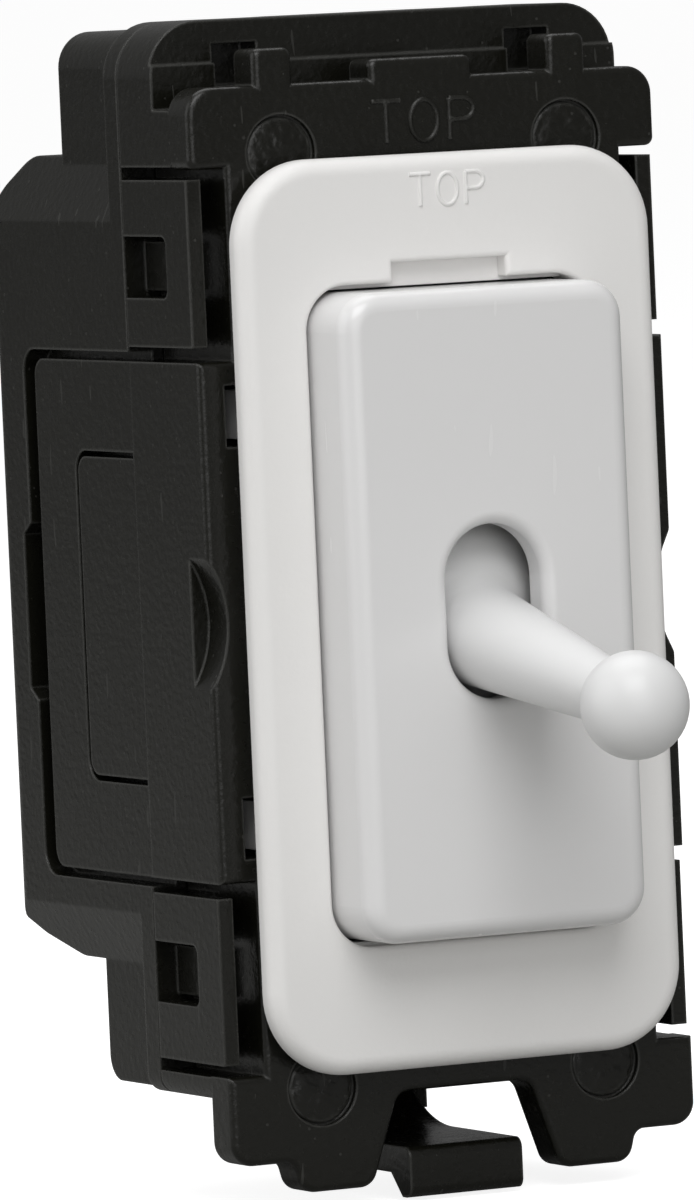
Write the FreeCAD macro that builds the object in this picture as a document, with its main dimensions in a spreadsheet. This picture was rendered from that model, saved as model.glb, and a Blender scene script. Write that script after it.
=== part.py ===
"""Toggle wall switch module, two way, that clips into a grid frame.

Frame of the part: X to the right, Y towards the wall, Z up, in millimetres. The origin is the
middle of the cover opening on the plane of the flange's rear face, which seats on the grid frame.
Every driving size stands once in SIZES and in the document's sheet; what fits into or on another
piece is placed from the same names.
"""
import FreeCAD, Part
import os
import re

import Sketcher

Vector = FreeCAD.Vector
X_AXIS = Vector(1, 0, 0)
Y_AXIS = Vector(0, 1, 0)
Z_AXIS = Vector(0, 0, 1)
SIDES = (-1, 1)
SAME = 1e-3  # two lengths closer than this count as one
SLACK = 0.02  # how far an edge's middle may be from the place that it is looked for

SIZES = {
    # Clearances
    "snap_gap": 0.15, "cover_gap": 0.3, "pin_gap": 0.03, "slide_gap": 0.05, "tongue_gap": 0.45,
    "past": 1.0, "root_bite": 0.5, "hair": 0.001,
    # Flange, from its front face back to the grid seat at Y = 0
    "flange_thick": 2.0, "module_half": 12.35, "shoulder_top": 25.0, "shoulder_foot": 21.2,
    "waist_half": 10.5, "cheek_half": 12.2, "tab_inner": 6.75, "tab_width": 2.05, "tab_top": 26.7,
    "tab_core_back": 3.6,
    "brow_half": 2.75, "brow_top": 25.95, "foot_head": 21.3, "foot_base": 25.5,
    "leg_base": 27.0, "leg_top_half": 9.15, "leg_base_half": 8.75, "notch_base_half": 5.0,
    "notch_top_half": 3.5, "notch_top": 22.65, "dimple_radius": 1.8, "dimple_depth": 0.35,
    "dimple_half": 7.55, "dimple_top": 21.8, "dimple_base": 22.1,
    "shoulder_radius": 1.3, "foot_radius": 1.1, "leg_radius": 0.9, "leg_sweep_radius": 0.6,
    "tab_radius": 0.4, "flange_edge": 0.3,
    # Frame moulding behind the flange
    "frame_back": 5.3, "grid_slot": 1.7, "slot_floor": 24.0, "head_top": 28.1, "head_foot": 21.35,
    "sill_base": 22.5, "sill_head": 21.35, "ledge_top": 26.1, "ledge_step": 0.3, "head_corner": 2.6,
    "arm_thick": 0.8, "arm_front": 1.45, "arm_near": 12.9, "arm_length": 7.85, "arm_web_front": 2.5,
    "latch_window_near": 15.2, "latch_window_length": 2.9, "latch_window_front": 0.9,
    "window_corner": 0.45,
    "web_front": 4.1, "web_half": 4.9, "web_tall": 6.5,
    "tongue_back": 15.8, "tongue_thick": 1.15, "scoop_radius": 5.5, "scoop_bite": 0.92,
    "scoop_depth": 1.9, "finger_half": 7.6, "finger_back": 11.5, "finger_front": 5.5,
    "finger_slit": 0.28, "tongue_inset": 0.08, "slit_past": 0.05,
    "finger_corner": 0.8, "sill_corner": 0.9, "tongue_corner": 0.9,
    # Front plate
    "plate_half": 10.95, "plate_tall": 21.45, "plate_proud": 2.1, "plate_rim": 1.15,
    "plate_corner": 4.0, "plate_round": 0.8, "opening_edge": 0.25, "plate_base_inset": 1.0,
    "plate_base_front": 0.9,
    "leg_seat_outer": 11.05, "plate_leg_inner": 9.1, "plate_leg_thick": 0.7,
    "plate_leg_near": 8.5, "plate_leg_length": 2.3, "plate_leg_reach": 0.8,
    "pry_half": 3.0, "pry_tall": 0.95, "pry_deep": 0.9, "ledge_gap": 0.1,
    # Toggle cover
    "cover_half": 7.45, "cover_tall": 15.2, "cover_proud": 5.5, "cover_wall": 1.2,
    "cover_face": 1.6, "cover_back": 3.9, "cover_corner": 1.8, "cover_round": 0.9,
    "slot_half": 2.54, "slot_tall": 4.1, "slot_round": 0.6, "lug_near": 9.5, "lug_length": 3.0,
    "lug_front": 1.5, "lug_deep": 1.5, "lug_proud": 0.55,
    # Lever, measured along its own axis from the pivot
    "pivot_depth": 0.7, "lever_tilt": 10.4, "hub_radius": 6.3, "hub_half": 4.6, "hub_rear": 3.2,
    "ball_reach": 21.48, "ball_radius": 2.52, "neck_radius": 1.45, "neck_reach": 19.6,
    "neck_flare_radius": 0.9, "stem_flare_radius": 1.4,
    "stem_radius": 2.4, "stem_root": 2.2, "stem_reach": 7.2, "tail_radius": 2.2, "tail_reach": 8.2,
    "plunger_radius": 1.5, "plunger_front": 4.6, "plunger_tip": 11.6, "spring_seat": 1.8,
    "spring_radius": 1.15, "spring_wire": 0.17, "spring_pitch": 0.62, "spring_end_gap": 0.05,
    # Lever carrier and pivot pin
    "carrier_tall": 8.6, "carrier_bar": 1.4, "carrier_front": 5.55,
    "pin_radius": 1.0,
    # Rear housing
    "rim_front": 5.4, "rim_thick": 1.35, "housing_back": 20.6, "housing_wall": 1.5,
    "main_top": 21.85, "flush_top": 18.8, "main_top_half": 11.0, "main_base": 16.6,
    "flush_base": 14.0, "main_base_half": 11.2, "ear_half": 11.2, "ear_top": 27.7,
    "ear_top_back": 13.9, "ear_base": 22.4, "ear_base_back": 13.1, "back_corner": 1.5,
    "back_bend": 2.4, "bend_back": 0.3, "bend_tall": 1.3,
    "slope_start": 17.6, "slope_mid": 19.6, "slope_mid_top": 20.3, "slope_end_top": 18.9,
    "toe_start": 15.4, "toe_mid": 18.6, "toe_mid_base": 15.65, "toe_end_base": 14.95,
    "recess_back": 16.9, "tongue_clear": 0.1, "relief_half": 3.7, "relief_back": 17.7, "relief_ramp": 0.55,
    "cavity_half": 9.8, "cavity_top": 20.55, "cavity_base": 15.15, "well_half": 6.9,
    "well_top": 17.0, "well_base": 11.5, "catch_inner": 10.6, "catch_thick": 0.6,
    "catch_front": 1.3, "wire_clear": 2.3, "screw_clear": 0.2,
    "upper_ear_corner": 1.7, "lower_ear_corner": 1.2, "recess_corner": 1.2,
    # Terminals
    "terminal_offset": 5.6, "terminal_half": 3.3, "terminal_front": 5.8, "terminal_deep": 6.0,
    "terminal_tall": 5.8, "terminal_top_seat": 20.5, "terminal_base_seat": 15.1,
    "wire_bore": 2.1, "wire_depth": 8.3, "screw_radius": 1.75, "screw_length": 5.2,
    "screw_edge": 0.25, "screw_slot": 0.8, "screw_slot_deep": 0.9, "terminal_gap": 0.1,
    # Contact strips lie on one plane at the back of the cavity
    "strip_front": 16.0, "strip_thick": 1.0, "strip_foot_front": 6.2, "strip_outer": 8.2,
    "way_inner": 3.4, "second_inner": 4.6, "pad_overlap": 2.0, "pad_near": 6.9, "pad_far": 9.9,
    "tip_reach": 8.15, "fixed_tip_radius": 1.5, "fixed_tip_thick": 0.6,
    # Contact rocker, about its own pivot
    "rocker_depth": 13.6, "rocker_tilt": 7.0, "blade_front": 1.2, "blade_thick": 0.9,
    "blade_half": 2.6, "blade_corner": 1.0, "blade_reach": 9.6, "rocker_barrel": 1.1,
    "rocker_pin": 0.6, "cheek_wall": 0.8, "cheek_inner": 3.0, "cheek_thick": 0.8,
    "cheek_tall": 1.6, "bar_tall": 1.8,
    "moving_tip_radius": 1.3, "moving_tip_thick": 0.8,
    # Grid catch below the sill
    "catch_half": 3.0, "catch_ledge_top": 25.35, "catch_ledge_thick": 1.3, "catch_lip": 1.8,
    "catch_lip_thick": 1.4, "catch_lip_base": 27.75, "catch_arm_start": 5.2, "catch_bend": 6.1,
    "catch_pin": 0.6, "catch_knuckle": 1.15, "catch_pin_depth": 10.9, "catch_pin_drop": 23.75,
    "yoke_thick": 1.0, "yoke_wall": 0.5, "yoke_front_wall": 0.3, "lip_edge": 0.5,
    "catch_join": 0.1, "lip_root": 0.6, "lip_taper": 0.5, "catch_arm_top": 0.3,
}

document = FreeCAD.newDocument("toggle_switch")
sheet = document.addObject("Spreadsheet::Sheet", "Sizes")


def fill_sheet():
    """Write every driving size into the sheet, one named cell each."""
    for row, (name, value) in enumerate(SIZES.items(), start=1):
        sheet.set(f"A{row}", name)
        sheet.set(f"B{row}", str(value))
        sheet.setAlias(f"B{row}", name)
    document.recompute()


def bound(text):
    """Turn an expression in size names into one that reads the sheet."""
    return re.sub(r"[a-z_]+", lambda word: ("Sizes." if word.group(0) in SIZES else "")
                  + word.group(0), text)


def bind(item, target, text):
    """Bind one property of a document object to an expression in size names."""
    item.setExpression(target, bound(text))


def new_body(label):
    """A PartDesign body whose label names its node."""
    body = document.addObject("PartDesign::Body", label)
    body.Label = label
    return body


def box(body, name, x, y, z, cut=False):
    """Add or cut a box that spans the (low, high) expressions along each axis."""
    kind = "PartDesign::SubtractiveBox" if cut else "PartDesign::AdditiveBox"
    item = body.newObject(kind, name)
    for length, axis, (low, high) in zip(("Length", "Width", "Height"), "xyz", (x, y, z)):
        bind(item, length, f"({high}) - ({low})")
        bind(item, f"Placement.Base.{axis}", low)
    item.Refine = not cut
    return item


def mirrored(side, low, high):
    """The span from low to high on the right side, or its mirror image on the left."""
    if side > 0:
        return (low, high)
    return (f"-({high})", f"-({low})")


def side_boxes(body, name, x, y, z, cut=False):
    """The same box on the right and on the left."""
    for side in SIDES:
        box(body, name, mirrored(side, *x), y, z, cut)


def cylinder(body, name, direction, radius, start, length, cut=False):
    """Add or cut a cylinder from the start point's expressions along a row axis."""
    kind = "PartDesign::SubtractiveCylinder" if cut else "PartDesign::AdditiveCylinder"
    item = body.newObject(kind, name)
    item.Placement = FreeCAD.Placement(Vector(), FreeCAD.Rotation(Z_AXIS, direction))
    bind(item, "Radius", radius)
    bind(item, "Height", length)
    for axis, text in zip("xyz", start):
        bind(item, f"Placement.Base.{axis}", text)
    item.Refine = not cut
    return item


def origin_plane(body, role):
    """The origin plane of a body that has the given role."""
    return next(item for item in body.Origin.OriginFeatures if item.Role == role)


def outline(body, name, role, offset, points):
    """A closed sketch through points whose coordinates are bound to expressions."""
    sketch = body.newObject("Sketcher::SketchObject", name)
    sketch.AttachmentSupport = [(origin_plane(body, role), "")]
    sketch.MapMode = "FlatFace"
    bind(sketch, "AttachmentOffset.Base.z", offset)
    count = len(points)
    places = [tuple(plain_value(sheet, text) for text in point) for point in points]
    for index in range(count):
        start = Vector(*places[index], 0)
        end = Vector(*places[(index + 1) % count], 0)
        sketch.addGeometry(Part.LineSegment(start, end), False)
    for index in range(count):
        sketch.addConstraint(Sketcher.Constraint("Coincident", index, 2, (index + 1) % count, 1))
    for index, point in enumerate(points):
        for kind, text, value in zip(("DistanceX", "DistanceY"), point, places[index]):
            number = sketch.addConstraint(Sketcher.Constraint(kind, -1, 1, index, 1, value))
            bind(sketch, f"Constraints[{number}]", text)
    return sketch


def plain_value(owner, text):
    """The number that an expression in size names stands for."""
    value = owner.evalExpression(bound(text))
    return float(getattr(value, "Value", value))


def prism(body, name, role, points, low, high, cut=False):
    """Pad or pocket an outline between two heights along its plane's row axis."""
    offset = f"-({high})" if role == "XZ_Plane" else low
    sketch = outline(body, name + "_outline", role, offset, points)
    item = body.newObject("PartDesign::Pocket" if cut else "PartDesign::Pad", name)
    item.Profile = sketch
    item.Reversed = cut
    item.Refine = not cut
    bind(item, "Length", f"({high}) - ({low})")
    return item


def mirror_points(points):
    """Close a right-hand outline with its mirror image about the Z axis."""
    left = [(f"-({across})", tall) for across, tall in reversed(points)]
    return points + left


def is_kind(edge, kind):
    """True where an edge has length and its curve is of the given kind."""
    return not edge.Degenerated and edge.Curve.TypeId == kind


def along(edge, direction):
    """True for a straight edge that runs along a direction."""
    if not is_kind(edge, "Part::GeomLine"):
        return False
    return edge.Curve.Direction.cross(direction).Length < SAME


def edge_at(edge, across=None, deep=None, tall=None):
    """True where an edge's middle has the given |X|, Y and Z."""
    middle = edge.CenterOfMass
    pairs = ((across, abs(middle.x)), (deep, middle.y), (tall, middle.z))
    return all(want is None or abs(want - have) < SLACK for want, have in pairs)


def on_plane(edge, direction, height):
    """True where the whole edge lies on one plane across a direction."""
    places = [vertex.Point.dot(direction) for vertex in edge.Vertexes]
    places.append(edge.CenterOfMass.dot(direction))
    return all(abs(place - height) < SAME for place in places)


def round_edges(body, name, radius, test):
    """Fillet every edge of the body so far that passes the test."""
    document.recompute()
    base = body.Tip
    names = [f"Edge{i}" for i, edge in enumerate(base.Shape.Edges, start=1) if test(edge)]
    if not names:
        raise RuntimeError(f"{name}: no edge to round")
    item = body.newObject("PartDesign::Fillet", name)
    item.Base = (base, names)
    bind(item, "Radius", radius)
    document.recompute()
    return item


def tilt(body, angle, depth):
    """Stand a body that is drawn about its own pivot at the pivot, turned about X."""
    body.Placement = FreeCAD.Placement(Vector(), FreeCAD.Rotation(X_AXIS, 1))
    bind(body, "Placement.Rotation.Angle", angle)
    bind(body, "Placement.Base.y", depth)


def make_front_frame():
    """Black moulding: flange, waist, snap arms, side tongues, head and sill."""
    body = new_body("front_frame")
    right = [
        ("brow_half", "brow_top"), ("brow_half", "shoulder_top"), ("tab_inner", "shoulder_top"),
        ("tab_inner", "tab_top"), ("tab_inner + tab_width", "tab_top"),
        ("tab_inner + tab_width", "shoulder_top"), ("module_half", "shoulder_top"),
        ("module_half", "shoulder_foot"), ("waist_half", "shoulder_foot"),
        ("waist_half", "cheek_half"), ("module_half", "cheek_half"),
        ("module_half", "-cheek_half"), ("waist_half", "-cheek_half"),
        ("waist_half", "-foot_head"), ("module_half", "-foot_head"),
        ("module_half", "-foot_base"), ("leg_top_half", "-foot_base"),
        ("leg_base_half", "-leg_base"), ("notch_base_half", "-leg_base"),
        ("notch_top_half", "-notch_top"),
    ]
    prism(body, "flange", "XZ_Plane", mirror_points(right), "-flange_thick", "0")
    rounds = (
        ("shoulder_round", "shoulder_radius", ((SIZES["module_half"], SIZES["shoulder_top"]),)),
        ("foot_round", "foot_radius", ((SIZES["module_half"], -SIZES["foot_base"]),)),
        ("leg_round", "leg_radius", (
            (SIZES["leg_base_half"], -SIZES["leg_base"]),
            (SIZES["notch_base_half"], -SIZES["leg_base"]),
            (SIZES["notch_top_half"], -SIZES["notch_top"]))),
        ("leg_sweep", "leg_sweep_radius", ((SIZES["leg_top_half"], -SIZES["foot_base"]),)),
        ("tab_round", "tab_radius", (
            (SIZES["tab_inner"], SIZES["tab_top"]),
            (SIZES["tab_inner"] + SIZES["tab_width"], SIZES["tab_top"]),
            (SIZES["brow_half"], SIZES["brow_top"]),
            (SIZES["module_half"], SIZES["shoulder_foot"]))),
    )
    for name, radius, corners in rounds:
        round_edges(body, name, radius, lambda edge: along(edge, Y_AXIS) and any(
            edge_at(edge, across=across, tall=tall) for across, tall in corners))
    round_edges(body, "flange_edge_round", "flange_edge",
                lambda edge: on_plane(edge, Y_AXIS, -SIZES["flange_thick"]))

    full = ("-module_half", "module_half")
    box(body, "ring", ("-waist_half", "waist_half"), ("0", "frame_back"),
        ("-sill_base", "slot_floor"))
    box(body, "shoulder_block", full, ("0", "grid_slot"), ("head_foot", "slot_floor"))
    box(body, "head", full, ("grid_slot", "frame_back"), ("head_foot", "head_top"))
    box(body, "sill", full, ("0", "frame_back"), ("-sill_base", "-sill_head"))
    box(body, "cheeks", full, ("0", "frame_back"), ("-cheek_half", "cheek_half"))
    round_edges(body, "head_round", "head_corner", lambda edge: along(edge, Y_AXIS) and edge_at(
        edge, across=SIZES["module_half"], tall=SIZES["head_top"]))
    round_edges(body, "sill_round", "sill_corner", lambda edge: along(edge, Y_AXIS) and edge_at(
        edge, across=SIZES["module_half"], tall=-SIZES["sill_base"]))
    box(body, "head_ledge", ("-module_half - past", "module_half + past"),
        ("grid_slot - past", "grid_slot + ledge_step"), ("ledge_top", "head_top + past"), cut=True)

    inner_arm = "module_half - arm_thick"
    for name, low, high in (("upper", "arm_near", "arm_near + arm_length"),
                            ("lower", "-(arm_near + arm_length)", "-arm_near")):
        side_boxes(body, name + "_arm", (inner_arm, "module_half"), ("-arm_front", "frame_back"),
                   (low, high))
        side_boxes(body, name + "_arm_web", ("waist_half", inner_arm),
                   ("arm_web_front", "frame_back"), (low, high))
    for name, low, high in (
            ("upper", "latch_window_near", "latch_window_near + latch_window_length"),
            ("lower", "-(latch_window_near + latch_window_length)", "-latch_window_near")):
        side_boxes(body, name + "_window", ("waist_half", "module_half + past"),
                   ("latch_window_front", "frame_back + past"), (low, high), cut=True)

    windows = (SIZES["latch_window_near"], SIZES["latch_window_near"] + SIZES["latch_window_length"])
    round_edges(body, "window_round", "window_corner", lambda edge: along(edge, X_AXIS) and edge_at(
        edge, deep=SIZES["latch_window_front"]) and any(
            abs(abs(edge.CenterOfMass.z) - tall) < SAME for tall in windows))

    side_boxes(body, "tongue", ("module_half - tongue_thick", "module_half - tongue_inset"),
               ("frame_back", "tongue_back"), ("-cheek_half", "cheek_half"))
    round_edges(body, "tongue_round", "tongue_corner", lambda edge: along(edge, X_AXIS) and edge_at(
        edge, deep=SIZES["tongue_back"]))
    cut_finger_slits(body)
    cut_frame_openings(body)
    return body


def cut_finger_slits(body):
    """Cut the U-shaped slit that frees a springy finger in each tongue."""
    near = "finger_half"
    far = "finger_half + finger_slit"
    back = "finger_back + finger_slit"
    slit = [
        ("finger_front", far), (back, far), (back, f"-({far})"), ("finger_front", f"-({far})"),
        ("finger_front", f"-{near}"), ("finger_back", f"-{near}"), ("finger_back", near),
        ("finger_front", near),
    ]
    inner = "module_half - tongue_thick - slit_past"
    prism(body, "right_slit", "YZ_Plane", slit, inner, "module_half + past", cut=True)
    prism(body, "left_slit", "YZ_Plane", slit, "-(module_half + past)", f"-({inner})", cut=True)
    for name, deep, extra in (("inner", SIZES["finger_back"], "0"),
                              ("outer", SIZES["finger_back"] + SIZES["finger_slit"], "finger_slit")):
        tall = SIZES["finger_half"] + (SIZES["finger_slit"] if name == "outer" else 0)
        round_edges(body, name + "_slit_round", f"finger_corner + {extra}",
                    lambda edge: along(edge, X_AXIS) and edge_at(edge, deep=deep) and (
                        edge_at(edge, tall=tall) or edge_at(edge, tall=-tall)))


def cut_frame_openings(body):
    """Cut what the cover, plate, lever and tabs need, and the flange's shallow marks."""
    open_half = "cover_half + cover_gap"
    open_tall = "cover_tall + cover_gap"
    box(body, "cover_opening", (f"-({open_half})", open_half), ("-flange_thick - past", "web_front"),
        (f"-({open_tall})", open_tall), cut=True)
    box(body, "tail_opening", ("-web_half", "web_half"), ("web_front - past", "frame_back + past"),
        ("-web_tall", "web_tall"), cut=True)
    spans = (("upper", 1), ("lower", -1))
    for name, sign in spans:
        low, high = mirrored(sign, "lug_near - snap_gap", "lug_near + lug_length + snap_gap")
        side_boxes(body, name + "_lug_seat",
                   ("cover_half", "cover_half + lug_proud + snap_gap"),
                   ("lug_front - snap_gap", "lug_front + lug_deep + snap_gap"), (low, high), cut=True)
        low, high = mirrored(sign, "plate_leg_near - 2 * snap_gap",
                             "plate_leg_near + plate_leg_length + 2 * snap_gap")
        side_boxes(body, name + "_leg_seat", ("plate_leg_inner - snap_gap", "leg_seat_outer"),
                   ("-flange_thick - past", "plate_leg_reach + snap_gap"), (low, high), cut=True)
    for side in SIDES:
        cylinder(body, "scoop", Y_AXIS, "scoop_radius",
                 (f"{side} * (module_half - scoop_bite + scoop_radius)", "-flange_thick - past", "0"),
                 "scoop_depth + past", cut=True)
        for name, tall in (("upper", "dimple_top"), ("lower", "-dimple_base")):
            cylinder(body, name + "_dimple", Y_AXIS, "dimple_radius",
                     (f"{side} * dimple_half", "-flange_thick - past", tall), "dimple_depth + past",
                     cut=True)
    side_boxes(body, "tab_core", ("tab_inner - snap_gap", "tab_inner + tab_width + snap_gap"),
               ("grid_slot - past", "tab_core_back"), ("shoulder_top", "tab_top + 2 * snap_gap"),
               cut=True)


def make_front_plate():
    """White surround with an undercut rim, snap legs and a prying notch above the opening."""
    body = new_body("front_plate")
    front = "-(flange_thick + plate_proud)"
    under = f"{front} + plate_rim"
    face = -(SIZES["flange_thick"] + SIZES["plate_proud"])
    box(body, "base", ("-(plate_half - plate_base_inset)", "plate_half - plate_base_inset"),
        (f"{front} + plate_base_front", "-flange_thick"),
        ("-(plate_tall - plate_base_inset)", "plate_tall - plate_base_inset"))
    round_edges(body, "base_corner", "plate_corner - plate_base_inset",
                lambda edge: along(edge, Y_AXIS))
    box(body, "rim", ("-plate_half", "plate_half"), (front, under), ("-plate_tall", "plate_tall"))
    round_edges(body, "rim_corner", "plate_corner", lambda edge: along(edge, Y_AXIS) and edge_at(
        edge, across=SIZES["plate_half"]))
    round_edges(body, "rim_round", "plate_round", lambda edge: on_plane(edge, Y_AXIS, face))
    for sign in SIDES:
        low, high = mirrored(sign, "plate_leg_near", "plate_leg_near + plate_leg_length")
        side_boxes(body, "leg", ("plate_leg_inner", "plate_leg_inner + plate_leg_thick"),
                   (f"{under} - root_bite", "plate_leg_reach"), (low, high))
    gap = "snap_gap"
    wide = f"cover_half + {gap}"
    tall = f"cover_tall + 2 * {gap}"
    box(body, "opening", (f"-({wide})", wide), (f"{front} - past", "past - flange_thick"),
        (f"-({tall})", tall), cut=True)
    half = SIZES["cover_half"] + SIZES["snap_gap"]
    round_edges(body, "opening_corner", "cover_corner + 2 * snap_gap", lambda edge: along(
        edge, Y_AXIS) and edge_at(edge, across=half))
    ledge = (f"{front} + pry_deep", "-flange_thick")
    for sign in SIDES:
        box(body, "opening_ledge", ("-cover_half", "cover_half"), ledge,
            mirrored(sign, "cover_tall + ledge_gap", tall))
    across = ("-pry_half", "pry_half")
    box(body, "pry_floor", across, ledge, ("cover_tall + ledge_gap", f"{tall} + pry_tall"))
    box(body, "pry_notch", across, (f"{front} - past", f"{front} + pry_deep"),
        (f"{tall} - past", f"{tall} + pry_tall"), cut=True)
    inner_half = SIZES["plate_half"] - SIZES["plate_corner"] / 2
    inner_tall = SIZES["plate_tall"] - SIZES["plate_corner"] / 2
    round_edges(body, "opening_round", "opening_edge", lambda edge: on_plane(edge, Y_AXIS, face) and all(
        abs(vertex.X) < inner_half and abs(vertex.Z) < inner_tall for vertex in edge.Vertexes))
    return body


def make_toggle_cover():
    """Glossy white raised cap with a flared slot for the lever."""
    body = new_body("toggle_cover")
    front = "-(flange_thick + cover_proud)"
    box(body, "shell", ("-cover_half", "cover_half"), (front, "cover_back"),
        ("-cover_tall", "cover_tall"))
    round_edges(body, "shell_corner", "cover_corner", lambda edge: along(edge, Y_AXIS))
    face = -(SIZES["flange_thick"] + SIZES["cover_proud"])
    round_edges(body, "shell_round", "cover_round", lambda edge: on_plane(edge, Y_AXIS, face))
    box(body, "hollow", ("-(cover_half - cover_wall)", "cover_half - cover_wall"),
        (f"{front} + cover_face", "cover_back + past"), ("-(cover_tall - cover_wall)",
                                                       "cover_tall - cover_wall"), cut=True)
    box(body, "slot", ("-slot_half", "slot_half"), (f"{front} - past", f"{front} + cover_face + past"),
        ("-(slot_tall - slot_half)", "slot_tall - slot_half"), cut=True)
    for sign in SIDES:
        cylinder(body, "slot_end", Y_AXIS, "slot_half",
                 ("0", f"{front} - past", f"{sign} * (slot_tall - slot_half)"), "cover_face + 2 * past",
                 cut=True)
    round_edges(body, "slot_flare", "slot_round", lambda edge: on_plane(edge, Y_AXIS, face) and all(
        abs(vertex.X) < SIZES["slot_half"] + SIZES["past"] for vertex in edge.Vertexes))
    for sign in SIDES:
        low, high = mirrored(sign, "lug_near", "lug_near + lug_length")
        side_boxes(body, "lug", ("cover_half - root_bite", "cover_half + lug_proud"),
                   ("lug_front", "lug_front + lug_deep"), (low, high))
    return body


def make_toggle_lever():
    """White lever: ball, tapered stem, domed hub and a tail tube for the plunger."""
    body = new_body("toggle_lever")
    hub = body.newObject("PartDesign::AdditiveSphere", "hub")
    bind(hub, "Radius", "hub_radius")
    around = ("-hub_radius - past", "hub_radius + past")
    side_boxes(body, "hub_flat", ("hub_half", "hub_radius + past"), around, around, cut=True)
    box(body, "hub_back", ("-hub_radius", "hub_radius"), ("hub_rear", "hub_radius + past"),
        ("-hub_radius", "hub_radius"), cut=True)
    stem = body.newObject("PartDesign::AdditiveCone", "stem")
    stem.Placement = FreeCAD.Placement(Vector(), FreeCAD.Rotation(Z_AXIS, -Y_AXIS))
    bind(stem, "Radius1", "stem_radius + (stem_radius - neck_radius) * stem_root"
                          " / (neck_reach - stem_reach)")
    bind(stem, "Radius2", "neck_radius")
    bind(stem, "Height", "neck_reach - stem_reach + stem_root")
    bind(stem, "Placement.Base.y", "-(stem_reach - stem_root)")
    round_edges(body, "stem_flare", "stem_flare_radius", lambda edge:
                abs(edge.CenterOfMass.y + SIZES["hub_radius"]) < SIZES["stem_flare_radius"]
                and SIZES["stem_radius"] < edge.BoundBox.XLength < 3 * SIZES["stem_radius"])
    ball = body.newObject("PartDesign::AdditiveSphere", "ball")
    bind(ball, "Radius", "ball_radius")
    bind(ball, "Placement.Base.y", "-ball_reach")
    round_edges(body, "neck_flare", "neck_flare_radius", lambda edge: is_kind(edge, "Part::GeomCircle")
                and abs(edge.CenterOfMass.y + SIZES["ball_reach"]) < (
                    SIZES["ball_radius"] + SIZES["neck_flare_radius"])
                and edge.BoundBox.XLength > SIZES["neck_radius"])
    cylinder(body, "tail", Y_AXIS, "tail_radius", ("0", "hub_rear - root_bite", "0"),
             "tail_reach - hub_rear + root_bite")
    cylinder(body, "plunger_bore", Y_AXIS, "plunger_radius + slide_gap",
             ("0", "spring_seat", "0"), "tail_reach - spring_seat + past", cut=True)
    cylinder(body, "pin_bore", X_AXIS, "pin_radius + pin_gap", ("-hub_radius", "0", "0"),
             "2 * hub_radius", cut=True)
    tilt(body, "lever_tilt", "pivot_depth")
    return body


def make_lever_pin():
    """Steel pin that the lever turns on, held at both ends by the carrier."""
    body = new_body("lever_pin")
    half = "cover_half - cover_wall - snap_gap"
    cylinder(body, "shank", X_AXIS, "pin_radius", (f"-({half})", "pivot_depth", "0"), f"2 * ({half})")
    return body


def make_lever_carrier():
    """White cradle inside the cover whose two cheeks hold the lever pin."""
    body = new_body("lever_carrier")
    half = "cover_half - cover_wall - snap_gap"
    span = ("-carrier_front", "web_front")
    box(body, "block", (f"-({half})", half), span, ("-carrier_tall", "carrier_tall"))
    inner = "web_half"
    bar = "carrier_tall - carrier_bar"
    box(body, "well", (f"-{inner}", inner), ("-carrier_front - past", "web_front + past"),
        (f"-({bar})", bar), cut=True)
    cylinder(body, "pin_seat", X_AXIS, "pin_radius", ("-cover_half", "pivot_depth", "0"),
             "2 * cover_half", cut=True)
    return body


def make_plunger():
    """Nylon plunger that slides in the lever's tail and bears on the contact rocker."""
    body = new_body("plunger")
    cylinder(body, "shank", Y_AXIS, "plunger_radius", ("0", "plunger_front", "0"),
             "plunger_tip - plunger_radius - plunger_front")
    nose = body.newObject("PartDesign::AdditiveSphere", "nose")
    bind(nose, "Radius", "plunger_radius")
    bind(nose, "Placement.Base.y", "plunger_tip - plunger_radius")
    tilt(body, "lever_tilt", "pivot_depth")
    return body


def make_plunger_spring():
    """Compression spring between the lever and its plunger."""
    body = new_body("plunger_spring")
    sketch = body.newObject("Sketcher::SketchObject", "wire_section")
    sketch.AttachmentSupport = [(origin_plane(body, "XZ_Plane"), "")]
    sketch.MapMode = "FlatFace"
    sketch.addGeometry(Part.Circle(Vector(SIZES["spring_radius"], 0, 0), Z_AXIS,
                                   SIZES["spring_wire"]), False)
    for kind, text, value in (("DistanceX", "spring_radius", SIZES["spring_radius"]),
                              ("DistanceY", "0", 0.0)):
        number = sketch.addConstraint(Sketcher.Constraint(kind, -1, 1, 0, 3, value))
        if text != "0":
            bind(sketch, f"Constraints[{number}]", text)
    number = sketch.addConstraint(Sketcher.Constraint("Radius", 0, SIZES["spring_wire"]))
    bind(sketch, f"Constraints[{number}]", "spring_wire")
    coil = body.newObject("PartDesign::AdditiveHelix", "coil")
    coil.Profile = sketch
    coil.ReferenceAxis = (sketch, ["V_Axis"])
    coil.Mode = "pitch-height-angle"
    bind(coil, "Pitch", "spring_pitch")
    bind(coil, "Height", "plunger_front - spring_seat - 2 * (spring_wire + spring_end_gap)")
    body.Placement = FreeCAD.Placement(Vector(), FreeCAD.Rotation(X_AXIS, 1))
    bind(body, "Placement.Rotation.Angle", "lever_tilt - 90")
    start = "(spring_seat + spring_wire + spring_end_gap)"
    bind(body, "Placement.Base.y", f"pivot_depth + {start} * cos(lever_tilt * 1 deg)")
    bind(body, "Placement.Base.z", f"{start} * sin(lever_tilt * 1 deg)")
    return body


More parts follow.
